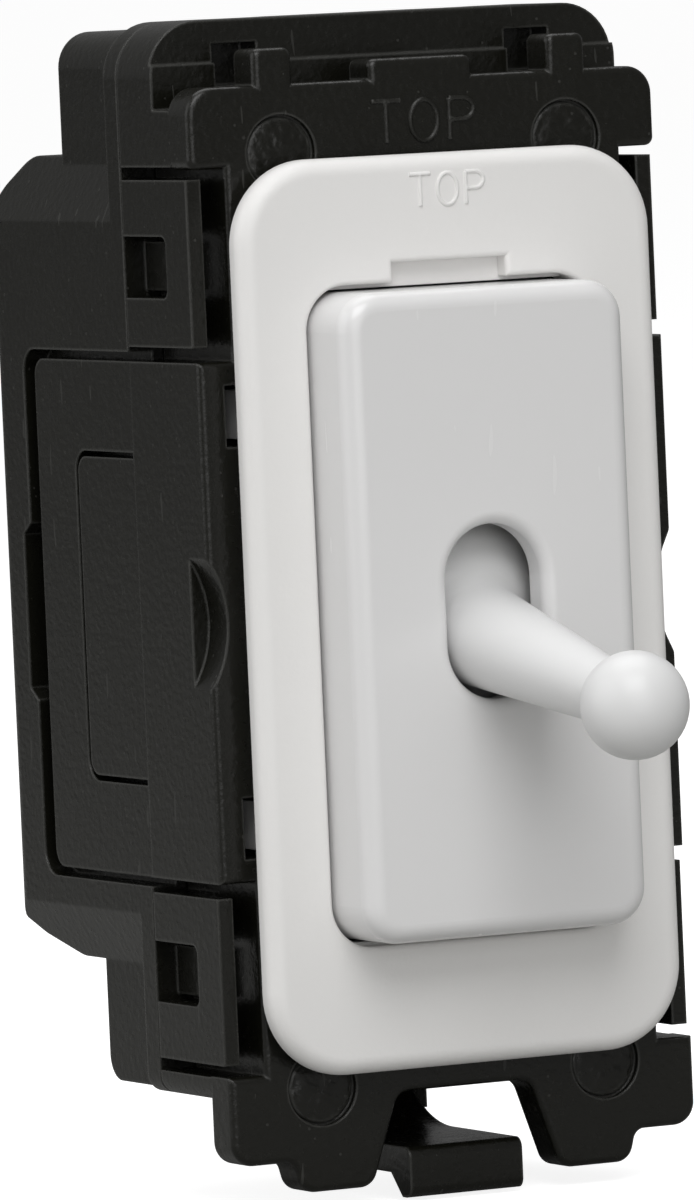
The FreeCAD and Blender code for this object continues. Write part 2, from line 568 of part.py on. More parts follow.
def make_rear_housing():
    """Black rear moulding: rim, deep box, two terminal ears, side recesses and snap catches."""
    body = new_body("rear_housing")
    rim_back = "rim_front + rim_thick"
    ear = ("-ear_half", "ear_half")
    box(body, "upper_ear", ear, ("rim_front + root_bite", "ear_top_back"), ("flush_top", "ear_top"))
    round_edges(body, "upper_ear_round", "upper_ear_corner", lambda edge: along(edge, Y_AXIS) and edge_at(
        edge, across=SIZES["ear_half"], tall=SIZES["ear_top"]))
    box(body, "lower_ear", ear, ("rim_front + root_bite", "ear_base_back"), ("-ear_base", "-flush_base"))
    round_edges(body, "lower_ear_round", "lower_ear_corner", lambda edge: along(edge, X_AXIS) and edge_at(
        edge, deep=SIZES["ear_base_back"], tall=-SIZES["ear_base"]))
    box(body, "rim", ("-module_half", "module_half"), ("rim_front", rim_back),
        ("-sill_base", "head_top"))
    round_edges(body, "rim_head", "head_corner", lambda edge: along(edge, Y_AXIS) and edge_at(
        edge, across=SIZES["module_half"], tall=SIZES["head_top"]))
    round_edges(body, "rim_foot", "sill_corner", lambda edge: along(edge, Y_AXIS) and edge_at(
        edge, across=SIZES["module_half"], tall=-SIZES["sill_base"]))
    right = [("main_top_half", "main_top"), ("module_half", "flush_top"),
             ("module_half", "-flush_base"), ("main_base_half", "-main_base")]
    prism(body, "main", "XZ_Plane", mirror_points(right), rim_back, "housing_back")
    round_edges(body, "back_round", "back_corner", lambda edge: along(edge, Z_AXIS) and edge_at(
        edge, across=SIZES["module_half"], deep=SIZES["housing_back"]))
    slope = [
        ("slope_start", "main_top"), ("slope_mid", "slope_mid_top"),
        ("housing_back - bend_back", "slope_end_top"),
        ("housing_back", "slope_end_top - bend_tall"),
        ("housing_back + past", "slope_end_top - bend_tall"),
        ("housing_back + past", "main_top + past"), ("slope_start", "main_top + past"),
    ]
    prism(body, "back_slope", "YZ_Plane", slope, "-module_half - past", "module_half + past", cut=True)
    toe = [
        ("toe_start", "-main_base"), ("toe_mid", "-toe_mid_base"),
        ("housing_back - 2 * bend_back", "-toe_end_base"),
        ("housing_back", "bend_tall - toe_end_base"),
        ("housing_back + past", "bend_tall - toe_end_base"),
        ("housing_back + past", "-main_base - past"), ("toe_start", "-main_base - past"),
    ]
    prism(body, "back_toe", "YZ_Plane", toe, "-module_half - past", "module_half + past", cut=True)
    bends = (("slope_start", "main_top"), ("slope_mid", "slope_mid_top"), ("toe_start", "-main_base"),
             ("toe_mid", "-toe_mid_base"))
    places = [(plain_value(sheet, deep), plain_value(sheet, tall)) for deep, tall in bends]
    round_edges(body, "back_bend_round", "back_bend", lambda edge: along(edge, X_AXIS) and any(
        edge_at(edge, deep=deep, tall=tall) for deep, tall in places))
    box(body, "cavity", ("-cavity_half", "cavity_half"),
        ("rim_front - past", "strip_front + strip_thick"), ("-cavity_base", "cavity_top"), cut=True)
    box(body, "well", ("-well_half", "well_half"),
        ("strip_front", "housing_back - housing_wall"), ("-well_base", "well_top"), cut=True)
    cut_terminal_pockets(body)
    cut_tongue_recesses(body)
    low = "latch_window_near + 2 * snap_gap"
    high = "latch_window_near + latch_window_length - 2 * snap_gap"
    for sign in SIDES:
        side_boxes(body, "catch", ("catch_inner", "catch_inner + catch_thick"),
                   ("catch_front", rim_back), mirrored(sign, low, high))
    make_yoke(body)
    return body


def cut_terminal_pockets(body):
    """Cut the seats of the terminal blocks and the holes for wires and screwdriver."""
    for side, end in ((-1, 1), (1, 1), (-1, -1)):
        seat = "terminal_top_seat" if end > 0 else "terminal_base_seat"
        cavity = "cavity_top" if end > 0 else "cavity_base"
        far = f"{seat} + terminal_tall + terminal_gap"
        x = mirrored(side, "terminal_offset - terminal_half - terminal_gap",
                     "terminal_offset + terminal_half + terminal_gap")
        box(body, "terminal_pocket", x,
            ("rim_front - past", "terminal_front + terminal_deep + terminal_gap"),
            mirrored(end, f"{cavity} - past", far), cut=True)
        cylinder(body, "wire_hole", Z_AXIS if end > 0 else -Z_AXIS, "wire_clear",
                 (f"{side} * terminal_offset", "wire_depth", f"{end} * ({seat} + terminal_tall)"),
                 "head_top", cut=True)
        cylinder(body, "screw_hole", Y_AXIS, "screw_radius + screw_clear",
                 (f"{side} * terminal_offset", "terminal_front + terminal_deep",
                  f"{end} * ({seat} + terminal_tall / 2)"), "housing_back", cut=True)


def cut_tongue_recesses(body):
    """Cut the shallow side recesses that the frame's tongues lie in."""
    inner = "module_half - tongue_thick - tongue_clear"
    tall = "(cheek_half + tongue_gap)"
    ramp = "(relief_half + relief_ramp)"
    recess = [
        ("rim_front - past", tall), ("recess_back", tall), ("recess_back", ramp),
        ("relief_back", "relief_half"), ("relief_back", "-relief_half"),
        ("recess_back", f"-{ramp}"), ("recess_back", f"-{tall}"), ("rim_front - past", f"-{tall}"),
    ]
    prism(body, "right_recess", "YZ_Plane", recess, inner, "module_half + past", cut=True)
    prism(body, "left_recess", "YZ_Plane", recess, "-(module_half + past)", f"-({inner})", cut=True)
    corner = SIZES["cheek_half"] + SIZES["tongue_gap"]
    round_edges(body, "recess_round", "recess_corner", lambda edge: along(edge, X_AXIS) and edge_at(
        edge, deep=SIZES["recess_back"]) and abs(abs(edge.CenterOfMass.z) - corner) < SLACK)


def make_yoke(body):
    """Add the two ears under the lower terminal ear that carry the grid catch."""
    tall = ("-catch_pin_drop - catch_pin - yoke_wall", "-ear_base + root_bite")
    deep = ("catch_pin_depth - catch_pin - yoke_front_wall", "catch_pin_depth + catch_pin + yoke_wall")
    side_boxes(body, "yoke", ("catch_half + snap_gap", "catch_half + snap_gap + yoke_thick"),
               deep, tall)
    cylinder(body, "catch_pin", X_AXIS, "catch_pin",
             ("-catch_half - snap_gap", "catch_pin_depth", "-catch_pin_drop"),
             "2 * (catch_half + snap_gap)")


def make_grid_catch():
    """Black spring catch: knuckle, bent arm, ledge and beaked lip."""
    body = new_body("grid_catch")
    under = "-(catch_ledge_top + catch_ledge_thick)"
    lip_back = "-catch_lip + catch_lip_thick"
    turn = "catch_arm_start"
    ledge = [
        ("-catch_lip", "-catch_ledge_top"), (f"{turn} + catch_join", "-catch_ledge_top"),
        (f"{turn} + catch_join", under), (f"{lip_back} + lip_root", under),
        (f"{lip_back} - lip_taper", "-catch_lip_base"), ("-catch_lip", "-catch_lip_base"),
    ]
    prism(body, "hook", "YZ_Plane", ledge, "-catch_half", "catch_half")
    round_edges(body, "lip_round", "lip_edge", lambda edge: along(edge, X_AXIS) and edge_at(
        edge, deep=-SIZES["catch_lip"]))
    centre = ("-catch_half", turn, "catch_bend - catch_ledge_top")
    wide = "2 * catch_half"
    cylinder(body, "bend", X_AXIS, "catch_bend + catch_ledge_thick", centre, wide)
    cylinder(body, "bend_hollow", X_AXIS, "catch_bend",
             ("-catch_half - past", centre[1], centre[2]), f"{wide} + 2 * past", cut=True)
    reach = "catch_bend + catch_ledge_thick + past"
    span = ("-catch_half - past", "catch_half + past")
    box(body, "bend_front", span, (f"{turn} - ({reach})", turn),
        ("-catch_ledge_top + hair", f"catch_bend - catch_ledge_top + {reach}"), cut=True)
    box(body, "bend_top", span, (f"{turn} - past", f"{turn} + {reach}"),
        ("-catch_pin_drop + catch_arm_top", f"catch_bend - catch_ledge_top + {reach}"), cut=True)
    cylinder(body, "knuckle", X_AXIS, "catch_knuckle",
             ("-catch_half", "catch_pin_depth", "-catch_pin_drop"), wide)
    cylinder(body, "pin_bore", X_AXIS, "catch_pin + pin_gap",
             ("-catch_half - past", "catch_pin_depth", "-catch_pin_drop"), f"{wide} + 2 * past", cut=True)
    return body


def make_terminal(label, side, end):
    """Brass block with a wire bore along Z and a tapped hole for its clamp screw."""
    body = new_body(label)
    seat = "terminal_top_seat" if end > 0 else "terminal_base_seat"
    box(body, "block", mirrored(side, "terminal_offset - terminal_half",
                                "terminal_offset + terminal_half"),
        ("terminal_front", "terminal_front + terminal_deep"),
        mirrored(end, seat, f"{seat} + terminal_tall"))
    cylinder(body, "wire_bore", Z_AXIS if end > 0 else -Z_AXIS, "wire_bore",
             (f"{side} * terminal_offset", "wire_depth", f"{end} * ({seat} - past)"),
             "terminal_tall + 2 * past", cut=True)
    cylinder(body, "thread", Y_AXIS, "screw_radius + slide_gap",
             (f"{side} * terminal_offset", "wire_depth", f"{end} * ({seat} + terminal_tall / 2)"),
             "terminal_deep + 2 * past", cut=True)
    return body


def make_terminal_screw(label, side, end):
    """Slotted clamp screw, drawn backed out so that the wire bore is free."""
    body = new_body(label)
    seat = "terminal_top_seat" if end > 0 else "terminal_base_seat"
    height = f"{end} * ({seat} + terminal_tall / 2)"
    start = "wire_depth + wire_bore + terminal_gap"
    cylinder(body, "shank", Y_AXIS, "screw_radius", (f"{side} * terminal_offset", start, height),
             "screw_length")
    round_edges(body, "tip_round", "screw_edge", lambda edge: is_kind(edge, "Part::GeomCircle"))
    top = f"{start} + screw_length"
    across = f"{side} * terminal_offset"
    box(body, "slot", (f"{across} - 2 * screw_radius", f"{across} + 2 * screw_radius"),
        (f"{top} - screw_slot_deep", f"{top} + past"),
        (f"{height} - screw_slot / 2", f"{height} + screw_slot / 2"), cut=True)
    return body


def make_way_strip(label, side, pad_side):
    """Copper strip from an upper terminal to the fixed contact on the pad's side."""
    body = new_body(label)
    plane = ("strip_front", "strip_front + strip_thick")
    seat = "terminal_top_seat"
    inner = "way_inner" if side < 0 else "second_inner"
    column = mirrored(side, inner, "strip_outer")
    low = "pad_near" if pad_side > 0 else "-pad_far"
    box(body, "column", column, plane, (low, seat))
    box(body, "pad", mirrored(side, "-pad_overlap", "strip_outer"), plane,
        mirrored(pad_side, "pad_near", "pad_far"))
    box(body, "foot", column, ("strip_foot_front", "strip_front + strip_thick"),
        (f"{seat} - strip_thick", seat))
    return body


def make_common_strip():
    """Copper strip from the common terminal, with the two cheeks that hold the rocker pin."""
    body = new_body("common_strip")
    plane = ("strip_front", "strip_front + strip_thick")
    seat = "-terminal_base_seat"
    column = ("-strip_outer", "-way_inner")
    box(body, "column", column, plane, (seat, "bar_tall"))
    box(body, "foot", column, ("strip_foot_front", "strip_front + strip_thick"),
        (seat, f"{seat} + strip_thick"))
    box(body, "bar", ("-strip_outer", "cheek_inner + cheek_thick"), plane,
        ("-bar_tall", "bar_tall"))
    side_boxes(body, "cheek", ("cheek_inner", "cheek_inner + cheek_thick"),
               ("rocker_depth - rocker_pin - cheek_wall", "strip_front + 0.5 * strip_thick"),
               ("-cheek_tall", "cheek_tall"))
    cylinder(body, "pin_seat", X_AXIS, "rocker_pin",
             ("-cheek_inner - cheek_thick - past", "rocker_depth", "0"),
             "2 * (cheek_inner + cheek_thick + past)", cut=True)
    return body


def make_rocker_pin():
    """Steel pin that the contact rocker turns on."""
    body = new_body("rocker_pin")
    cylinder(body, "shank", X_AXIS, "rocker_pin",
             ("-cheek_inner - cheek_thick", "rocker_depth", "0"), "2 * (cheek_inner + cheek_thick)")
    return body


def make_contact_rocker():
    """Copper see-saw blade with a rolled barrel round its pin."""
    body = new_body("contact_rocker")
    box(body, "blade", ("-blade_half", "blade_half"),
        ("-blade_front", "blade_thick - blade_front"), ("-blade_reach", "blade_reach"))
    cylinder(body, "barrel", X_AXIS, "rocker_barrel", ("-blade_half", "0", "0"), "2 * blade_half")
    round_edges(body, "blade_ends", "blade_corner", lambda edge: along(edge, Y_AXIS))
    cylinder(body, "pin_bore", X_AXIS, "rocker_pin + pin_gap", ("-blade_half - past", "0", "0"),
             "2 * (blade_half + past)", cut=True)
    tilt(body, "-rocker_tilt", "rocker_depth")
    return body


def make_moving_tips():
    """Silver contact buttons on the rocker's back."""
    body = new_body("moving_contact_tips")
    for sign in SIDES:
        cylinder(body, "tip", Y_AXIS, "moving_tip_radius",
                 ("0", "blade_thick - blade_front", f"{sign} * tip_reach"), "moving_tip_thick")
    tilt(body, "-rocker_tilt", "rocker_depth")
    return body


def make_fixed_tips():
    """Silver contact buttons on the two way strips."""
    body = new_body("fixed_contact_tips")
    for sign in SIDES:
        cylinder(body, "tip", Y_AXIS, "fixed_tip_radius",
                 ("0", "strip_front - fixed_tip_thick", f"{sign} * tip_reach"), "fixed_tip_thick")
    return body


def check_document():
    """Stop if any object failed to compute."""
    failed = [f"{item.Name}: {item.State}" for item in document.Objects
              if "Invalid" in item.State or "Error" in item.State]
    if failed:
        raise RuntimeError("failed objects: " + ", ".join(failed))


def write_parts(bodies):
    """Check each sub-part's solid and write it to its own STEP file."""
    for body in bodies:
        shape = body.Shape
        if shape.isNull() or not shape.isValid() or not shape.Solids:
            raise RuntimeError(f"{body.Label} has no valid solid")
        print(f"{body.Label}: {len(shape.Solids)} solid, {shape.Volume:.1f} mm3")
    os.makedirs("parts", exist_ok=True)
    for body in bodies:
        body.Shape.exportStep(f"parts/{body.Label}.step")


def main():
    """Build every sub-part, check the document and write the files."""
    fill_sheet()
    bodies = [
        make_front_frame(), make_front_plate(), make_toggle_cover(), make_toggle_lever(),
        make_lever_pin(), make_lever_carrier(), make_plunger(), make_plunger_spring(),
        make_rear_housing(), make_grid_catch(), make_common_strip(),
        make_way_strip("first_way_strip", -1, 1), make_way_strip("second_way_strip", 1, -1),
        make_rocker_pin(), make_contact_rocker(), make_moving_tips(), make_fixed_tips(),
    ]
    for name, side, end in (("first_way", -1, 1), ("second_way", 1, 1), ("common", -1, -1)):
        bodies.append(make_terminal(name + "_terminal", side, end))
        bodies.append(make_terminal_screw(name + "_screw", side, end))
    document.recompute()
    check_document()
    write_parts(bodies)


main()
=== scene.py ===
"""Looks of a toggle wall switch module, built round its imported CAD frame.

Places are in the row frame: X right, Y towards the wall, Z up, in metres. The CAD nodes keep their
shapes and get their finishes here; letters, gate scars, threads and the spring are made here.
"""

import logging
import math
from dataclasses import dataclass
from enum import Enum
from typing import Sequence

import bpy
from mathutils import Matrix, Vector

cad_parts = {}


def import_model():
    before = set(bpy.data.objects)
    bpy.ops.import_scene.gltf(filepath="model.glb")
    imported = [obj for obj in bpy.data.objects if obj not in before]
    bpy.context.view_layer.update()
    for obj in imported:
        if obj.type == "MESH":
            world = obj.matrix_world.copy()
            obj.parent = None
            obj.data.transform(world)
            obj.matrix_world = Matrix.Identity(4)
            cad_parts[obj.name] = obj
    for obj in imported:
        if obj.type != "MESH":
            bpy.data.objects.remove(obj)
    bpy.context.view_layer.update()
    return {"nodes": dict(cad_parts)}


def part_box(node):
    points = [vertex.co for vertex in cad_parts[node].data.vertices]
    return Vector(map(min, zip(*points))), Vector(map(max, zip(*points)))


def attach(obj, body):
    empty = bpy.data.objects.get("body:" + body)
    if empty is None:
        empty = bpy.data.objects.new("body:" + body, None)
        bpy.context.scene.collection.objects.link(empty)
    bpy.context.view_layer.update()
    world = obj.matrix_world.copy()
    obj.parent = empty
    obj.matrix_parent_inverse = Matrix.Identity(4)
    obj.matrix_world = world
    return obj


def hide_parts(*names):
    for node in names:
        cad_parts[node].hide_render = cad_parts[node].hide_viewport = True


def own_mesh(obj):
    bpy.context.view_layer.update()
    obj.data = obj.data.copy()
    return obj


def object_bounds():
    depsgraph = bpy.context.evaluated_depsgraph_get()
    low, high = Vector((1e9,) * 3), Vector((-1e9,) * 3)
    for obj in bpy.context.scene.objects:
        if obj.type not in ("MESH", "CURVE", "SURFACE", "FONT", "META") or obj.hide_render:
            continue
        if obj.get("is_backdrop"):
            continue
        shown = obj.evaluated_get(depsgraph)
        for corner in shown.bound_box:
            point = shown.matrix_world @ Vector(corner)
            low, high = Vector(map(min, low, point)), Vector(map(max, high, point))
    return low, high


LOG = logging.getLogger("toggle_switch")
MM = 0.001

Colour = tuple[float, float, float]
GroupParts = tuple[bpy.types.NodeTree, bpy.types.Node, bpy.types.Node]

# Places of the colour sockets on a Mix node set to RGBA, which share their names with others.
MIX_FIRST = 6
MIX_SECOND = 7
MIX_RESULT = 2

# Noise cells per metre of the patterns that every finish shares.
RIPPLE_CELLS = 260.0
SPECK_PATCH_CELLS = 420.0
RISING_SCRATCH_CELLS = 2600.0
FALLING_SCRATCH_CELLS = 2200.0
SCUFF_AND_HIGHLIGHT_CELLS = 800.0

# Stretch along Z and turn about Y, in radians, of the two directions of scratches.
RISING_STRETCH, RISING_TURN = (1, 1, 0.16), 0.7
FALLING_STRETCH, FALLING_TURN = (1, 1, 0.14), -1.1

# Masks: where specks may lie, how fast the pale edge of wear and painted highlight grows as an edge
# turns, how far past the edge's round it reaches, and the samples of the two Bevel nodes.
SPECK_PATCH_LEVEL = 0.5
SCUFF_AND_HIGHLIGHT_GAIN = 6.0
SCUFF_AND_HIGHLIGHT_REACH = 1.4
SCUFF_AND_HIGHLIGHT_SAMPLES = 4
EDGE_SAMPLES = 6

# What every finish shares: how much the grain and the marks add to the roughness, the amount taken
# off so that the grain's middle stays near the stated roughness, and the bump, coat and skin.
GRAIN_ROUGHNESS = 0.12
GRAIN_ROUGHNESS_MIDDLE = 0.07
MARK_ROUGHNESS = 0.10
GRAIN_STRENGTH = 0.5
COAT_ROUGHNESS = 0.06
SUBSURFACE_SCALE = 0.6 * MM


class Body(str, Enum):
    """The bodies of the switch that carry added pieces."""

    HOUSING = "housing"
    LEVER = "lever"
    COMMON_SCREW = "common_screw"
    FIRST_SCREW = "first_way_screw"
    SECOND_SCREW = "second_way_screw"


class Slot(str, Enum):
    """The record's material slots."""

    BLACK = "black_moulding"
    PLATE = "white_plate"
    COVER = "white_cover"
    LEVER = "white_lever"
    NYLON = "nylon"
    STEEL = "steel"
    SCREW = "screw_steel"
    COPPER = "copper"
    BRASS = "brass"
    SILVER = "silver"


# Shader helpers ------------------------------------------------------------------------------


def add_node(tree: bpy.types.NodeTree, kind: str, **values: object) -> bpy.types.Node:
    """Add a node and set its plain properties.

    Args:
        tree: the tree that gets the node.
        kind: the node's type name.
        values: properties to set on it.

    Returns:
        The new node.
    """
    node = tree.nodes.new(kind)
    for name, value in values.items():
        setattr(node, name, value)
    return node


def math_node(tree: bpy.types.NodeTree, operation: str, *inputs: object) -> bpy.types.NodeSocket:
    """Add a Math node whose inputs are sockets or numbers.

    Args:
        tree: the tree that gets the node.
        operation: the Math node's operation.
        inputs: sockets to link or numbers to set, in order.

    Returns:
        The node's value output.
    """
    node = add_node(tree, "ShaderNodeMath", operation=operation)
    for socket, value in zip(node.inputs, inputs):
        if isinstance(value, bpy.types.NodeSocket):
            tree.links.new(value, socket)
        else:
            socket.default_value = value
    return node.outputs[0]


def new_group(name: str, inputs: dict[str, float | Colour],
              outputs: dict[str, str]) -> GroupParts:
    """Make a shader group with named inputs and outputs.

    Args:
        name: the group's name.
        inputs: each input's default, a number or a colour.
        outputs: each output's socket type.

    Returns:
        The tree, its group input node and its group output node.
    """
    tree = bpy.data.node_groups.new(name, "ShaderNodeTree")
    for label, default in inputs.items():
        is_colour = isinstance(default, tuple)
        kind = "NodeSocketColor" if is_colour else "NodeSocketFloat"
        socket = tree.interface.new_socket(label, in_out="INPUT", socket_type=kind)
        socket.default_value = (*default, 1.0) if is_colour else default
    for label, kind in outputs.items():
        tree.interface.new_socket(label, in_out="OUTPUT", socket_type=kind)
    return tree, add_node(tree, "NodeGroupInput"), add_node(tree, "NodeGroupOutput")


def object_noise(tree: bpy.types.NodeTree, scale: bpy.types.NodeSocket | float,
                 stretch: Sequence[float] = (1, 1, 1), detail: float = 2.0,
                 turn: float = 0.0) -> bpy.types.NodeSocket:
    """A noise value read in the object's own coordinates.

    Args:
        tree: the tree that gets the nodes.
        scale: noise cells per metre, a socket or a number.
        stretch: scale of the coordinates along each axis.
        detail: octaves of the noise.
        turn: turn of the pattern about Y, in radians.

    Returns:
        The noise's value socket.
    """
    place = add_node(tree, "ShaderNodeTexCoord")
    mapping = add_node(tree, "ShaderNodeMapping")
    mapping.inputs["Scale"].default_value = stretch
    mapping.inputs["Rotation"].default_value = (0, turn, 0)
    noise = add_node(tree, "ShaderNodeTexNoise")
    noise.inputs["Detail"].default_value = detail
    tree.links.new(place.outputs["Object"], mapping.inputs["Vector"])
    tree.links.new(mapping.outputs["Vector"], noise.inputs["Vector"])
    if isinstance(scale, bpy.types.NodeSocket):
        tree.links.new(scale, noise.inputs["Scale"])
    else:
        noise.inputs["Scale"].default_value = scale
    return noise.outputs["Fac"]


class ShaderGroups:
    """The shader groups that several finishes share, each built once."""

    def __init__(self) -> None:
        """Build every group."""
        self.grain = self.make_grain()
        self.specks = self.make_specks()
        self.scratches = self.make_scratches()
        self.drift = self.make_drift()
        self.scuffed_and_highlit_edges = self.make_scuffed_and_highlit_edges()

    @staticmethod
    def make_grain() -> bpy.types.NodeTree:
        """Fine moulded grain over a slow ripple.

        Returns:
            A group with the input Cells per metre and Ripple and the output Height.
        """
        tree, start, end = new_group("moulded_grain", {"Cells": 3500.0, "Ripple": 0.3},
                                     {"Height": "NodeSocketFloat"})
        fine = object_noise(tree, start.outputs["Cells"], detail=3.0)
        slow = object_noise(tree, RIPPLE_CELLS)
        mixed = math_node(tree, "MULTIPLY_ADD", slow, start.outputs["Ripple"], fine)
        tree.links.new(mixed, end.inputs["Height"])
        return tree

    @staticmethod
    def make_specks() -> bpy.types.NodeTree:
        """Scattered small pale specks of dust or filler.

        Returns:
            A group with the inputs Cells and Amount and the output Mask.
        """
        tree, start, end = new_group("fine_specks", {"Cells": 1400.0, "Amount": 0.12},
                                     {"Mask": "NodeSocketFloat"})
        place = add_node(tree, "ShaderNodeTexCoord")
        cells = add_node(tree, "ShaderNodeTexVoronoi", feature="F1")
        tree.links.new(place.outputs["Object"], cells.inputs["Vector"])
        tree.links.new(start.outputs["Cells"], cells.inputs["Scale"])
        inside = math_node(tree, "LESS_THAN", cells.outputs["Distance"], start.outputs["Amount"])
        patch = object_noise(tree, SPECK_PATCH_CELLS)
        some = math_node(tree, "GREATER_THAN", patch, SPECK_PATCH_LEVEL)
        tree.links.new(math_node(tree, "MULTIPLY", inside, some), end.inputs["Mask"])
        return tree

    @staticmethod
    def make_scratches() -> bpy.types.NodeTree:
        """Hairline handling scratches that run in two directions.

        Returns:
            A group with the input Level and the output Mask.
        """
        tree, start, end = new_group("hair_scratches", {"Level": 0.70},
                                     {"Mask": "NodeSocketFloat"})
        rising = object_noise(tree, RISING_SCRATCH_CELLS, RISING_STRETCH, 0.0, RISING_TURN)
        falling = object_noise(tree, FALLING_SCRATCH_CELLS, FALLING_STRETCH, 0.0, FALLING_TURN)
        first = math_node(tree, "GREATER_THAN", rising, start.outputs["Level"])
        second = math_node(tree, "GREATER_THAN", falling, start.outputs["Level"])
        tree.links.new(math_node(tree, "MAXIMUM", first, second), end.inputs["Mask"])
        return tree

    @staticmethod
    def make_drift() -> bpy.types.NodeTree:
        """Slow drift between two close tones of one moulding.

        Returns:
            A group with the inputs Tone, Other tone and Cells and the output Colour.
        """
        tree, start, end = new_group(
            "tone_drift", {"Tone": (0.5, 0.5, 0.5), "Other tone": (0.5, 0.5, 0.5), "Cells": 90.0},
            {"Colour": "NodeSocketColor"})
        slow = object_noise(tree, start.outputs["Cells"])
        mix = add_node(tree, "ShaderNodeMix", data_type="RGBA")
        tree.links.new(slow, mix.inputs["Factor"])
        tree.links.new(start.outputs["Tone"], mix.inputs[MIX_FIRST])
        tree.links.new(start.outputs["Other tone"], mix.inputs[MIX_SECOND])
        tree.links.new(mix.outputs[MIX_RESULT], end.inputs["Colour"])
        return tree

    @staticmethod
    def make_scuffed_and_highlit_edges() -> bpy.types.NodeTree:
        """Where a piece's edges are rubbed and painted pale as a highlight, broken up by noise.

        Returns:
            A group with the inputs Width and Break up and the output Mask.
        """
        tree, start, end = new_group("scuffed_and_highlit_edges", {"Width": 0.00012, "Break up": 0.35},
                                     {"Mask": "NodeSocketFloat"})
        rounded = add_node(tree, "ShaderNodeBevel", samples=SCUFF_AND_HIGHLIGHT_SAMPLES)
        tree.links.new(start.outputs["Width"], rounded.inputs["Radius"])
        plain = add_node(tree, "ShaderNodeNewGeometry")
        dot = add_node(tree, "ShaderNodeVectorMath", operation="DOT_PRODUCT")
        tree.links.new(rounded.outputs["Normal"], dot.inputs[0])
        tree.links.new(plain.outputs["Normal"], dot.inputs[1])
        turned = math_node(tree, "SUBTRACT", 1.0, dot.outputs["Value"])
        wide = math_node(tree, "MULTIPLY", turned, SCUFF_AND_HIGHLIGHT_GAIN)
        noise = object_noise(tree, SCUFF_AND_HIGHLIGHT_CELLS)
        gone = math_node(tree, "MULTIPLY", noise, start.outputs["Break up"])
        left = add_node(tree, "ShaderNodeMath", operation="SUBTRACT", use_clamp=True)
        tree.links.new(wide, left.inputs[0])
        tree.links.new(gone, left.inputs[1])
        tree.links.new(left.outputs[0], end.inputs["Mask"])
        return tree


